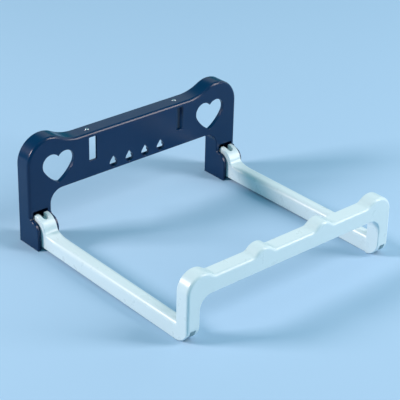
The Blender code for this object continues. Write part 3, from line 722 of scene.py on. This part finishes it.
def moulded_plastic(name, color, shade, roughness, scuff, specular):
    """Moulded plastic: fine grain, slow sink marks and colour drift, hairline scratches, rubbed feet."""
    nodes = Nodes(name)
    drift = nodes.spread(nodes.noise(14.0, 4.0), 0.35, 0.65, 0.0, 1.0)
    tint = nodes.blend(drift, (*color, 1), (*shade, 1))
    lines = nodes.spread(nodes.noise(40.0, 2.0, (0.3, 0.3, 40)), 0.62, 0.74, 0.0, 1.0)
    cross = nodes.spread(nodes.noise(40.0, 2.0, (40, 0.3, 0.3)), 0.64, 0.76, 0.0, 1.0)
    scratches = nodes.math("MAXIMUM", lines, cross)
    height = nodes.add("ShaderNodeSeparateXYZ", {"Vector": nodes.place()}).outputs["Z"]
    low = nodes.spread(height, 0.0, RUBBED_HEIGHT, 1.0, 0.0)
    rubbed = nodes.math("MULTIPLY", low, nodes.spread(nodes.noise(420.0, 4.0), 0.42, 0.6, 0.0, 0.6))
    nodes.link(nodes.blend(rubbed, tint, (*scuff, 1)), "Base Color")
    gloss = nodes.spread(nodes.noise(95.0, 5.0), 0.3, 0.7, roughness - 0.025, roughness + 0.03)
    gloss = nodes.math("ADD", gloss, nodes.math("MULTIPLY", scratches, 0.02))
    nodes.link(nodes.math("ADD", gloss, nodes.math("MULTIPLY", rubbed, 0.3)), "Roughness")
    sink = nodes.bump(nodes.noise(38.0, 1.0), 0.06, SINK_DEPTH)
    nodes.link(nodes.bump(nodes.noise(1400.0, 2.0), 0.04, GRAIN_DEPTH, sink), "Normal")
    nodes.shader.inputs["Specular IOR Level"].default_value = specular
    return nodes.material


def drawn_steel(name):
    """Bright wire with fine draw marks along its length."""
    nodes = Nodes(name)
    marks = nodes.noise(900.0, 4.0, (1, 1, 0.03))
    stain = nodes.spread(nodes.noise(260.0, 3.0), 0.35, 0.7, 0.0, 0.35)
    nodes.link(nodes.blend(stain, (0.55, 0.57, 0.60, 1), (0.36, 0.37, 0.39, 1)), "Base Color")
    nodes.link(nodes.spread(marks, 0.3, 0.7, 0.28, 0.46), "Roughness")
    nodes.link(nodes.bump(marks, 0.15, DRAW_DEPTH), "Normal")
    nodes.shader.inputs["Metallic"].default_value = 1.0
    return nodes.material


def backdrop_paper(name):
    """Matt paper of one pale colour, with a faint tooth."""
    nodes = Nodes(name)
    tooth = nodes.noise(700.0, 3.0)
    drift = nodes.spread(nodes.noise(1.2, 2.0), 0.3, 0.7, 0.0, 1.0)
    nodes.link(nodes.blend(drift, (0.384, 0.569, 0.744, 1), (0.392, 0.577, 0.752, 1)), "Base Color")
    nodes.link(nodes.spread(tooth, 0.3, 0.7, 0.85, 0.95), "Roughness")
    nodes.link(nodes.bump(tooth, 0.05, TOOTH_DEPTH), "Normal")
    nodes.shader.inputs["Specular IOR Level"].default_value = 0.15
    return nodes.material


# Putting it together

SHARP_ANGLE = 32
CAMERA_TURNS = (-41.636, 28.061, 1.434)  # azimuth, elevation and roll, in degrees
CAMERA_AIM = (57.1 * MM, -26.3 * MM)  # from the middle of the panel's front face
CAMERA_DISTANCE = 1.461
CAMERA_LENS = 129.35  # millimetres
CAMERA_SHIFT = (0.0069, -0.0021)
LIGHTS_AIM = Vector((0, 0, 0.03))
FLOOR_HALF = 5


def finish_piece(obj, material, body, nodes):
    obj.data.transform(Matrix.Translation((0, FACE_Y, 0)))
    obj.data.materials.clear()
    obj.data.materials.append(material)
    obj.data.shade_smooth()
    obj.data.set_sharp_from_angle(angle=math.radians(SHARP_ANGLE))
    weighted = obj.modifiers.new("weighted_normals", "WEIGHTED_NORMAL")
    weighted.keep_sharp = True
    weighted.weight = 60
    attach(obj, body)
    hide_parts(*nodes)


def add_light(name, direction, distance, size, power, color):
    """A soft box that faces the middle of the object."""
    data = bpy.data.lights.new(name, "AREA")
    data.shape = "RECTANGLE"
    data.size, data.size_y = size
    data.energy = power
    data.color = color
    obj = bpy.data.objects.new(name, data)
    obj.location = LIGHTS_AIM + Vector(direction).normalized() * distance
    obj.rotation_mode = "QUATERNION"
    obj.rotation_quaternion = (LIGHTS_AIM - obj.location).to_track_quat("-Z", "Y")
    bpy.context.scene.collection.objects.link(obj)


def add_camera():
    """A long lens to the left of the rail, looking down at the middle of the frame."""
    azimuth, elevation, roll = (math.radians(angle) for angle in CAMERA_TURNS)
    target = Vector((CAMERA_AIM[0], FACE_Y + CAMERA_AIM[1], 0))
    level = Vector((math.cos(azimuth), math.sin(azimuth), 0))
    away = Vector((math.sin(azimuth), -math.cos(azimuth), 0))
    back = away * math.cos(elevation) + Vector((0, 0, math.sin(elevation)))
    up = back.cross(level)
    side = level * math.cos(roll) + up * math.sin(roll)
    top = up * math.cos(roll) - level * math.sin(roll)
    data = bpy.data.cameras.new("camera")
    data.sensor_width = 36
    data.lens = CAMERA_LENS
    data.shift_x, data.shift_y = CAMERA_SHIFT
    data.clip_start, data.clip_end = 0.05, 30
    camera = bpy.data.objects.new("camera", data)
    matrix = Matrix((side, top, back)).transposed().to_4x4()
    matrix.translation = target + back * CAMERA_DISTANCE
    camera.matrix_world = matrix
    bpy.context.scene.collection.objects.link(camera)
    bpy.context.scene.camera = camera


def add_floor(material):
    cage = bmesh.new()
    bmesh.ops.create_grid(cage, x_segments=8, y_segments=8, size=FLOOR_HALF)
    mesh = bpy.data.meshes.new("floor")
    cage.to_mesh(mesh)
    cage.free()
    floor = bpy.data.objects.new("floor", mesh)
    mesh.materials.append(material)
    bpy.context.scene.collection.objects.link(floor)


def add_world(color, strength):
    world = bpy.data.worlds.new("studio")
    world.use_nodes = True
    background = world.node_tree.nodes["Background"]
    background.inputs["Color"].default_value = (*color, 1)
    background.inputs["Strength"].default_value = strength
    bpy.context.scene.world = world


add_camera()
navy = moulded_plastic(
    "navy_plastic",
    color=(0.001, 0.0215, 0.070),
    shade=(0.002, 0.025, 0.079),
    roughness=0.22,
    scuff=(0.09, 0.12, 0.17),
    specular=0.3,
)
mint = moulded_plastic(
    "mint_plastic",
    color=(0.655, 0.785, 0.81),
    shade=(0.645, 0.775, 0.80),
    roughness=0.29,
    scuff=(0.45, 0.55, 0.56),
    specular=0.5,
)
steel = drawn_steel("drawn_steel")

finish_piece(panel_moulding(), navy, "back_panel", ["back_panel"])
finish_piece(frame_moulding(), mint, "folding_frame", ["folding_frame"])
for side, word in ((-1, "left"), (1, "right")):
    finish_piece(strap_pin(f"strap_pin_{word}", side), steel, "back_panel", [f"strap_bar_{word}"])
    hinge_pin = frame["nodes"][f"hinge_pin_{word}"]
    hinge_pin.data.materials.clear()
    hinge_pin.data.materials.append(steel)

add_floor(backdrop_paper("backdrop_paper"))
add_world((0.06, 0.78, 1.0), 0.33)
add_light("key", (0.58, -0.62, 0.53), 2.2, (0.6, 2.0), 47, (1.0, 0.88, 0.87))
add_light("left_back", (-0.8, 0.5, 0.5), 2.2, (0.6, 0.6), 46, (1.0, 0.82, 0.80))
add_light("right", (1.0, 0.0, 0.45), 2.2, (1.3, 1.3), 7, (1.0, 0.93, 0.92))
add_light("over", (0.0, 0.0, 1.0), 2.6, (1.6, 1.6), 3, (0.9, 0.95, 1.0))
add_light("back_low", (0.586, 0.66, 0.47), 2.2, (2.0, 0.8), 2.5, (1.0, 0.82, 0.80))

bpy.context.scene.view_settings.view_transform = "Standard"
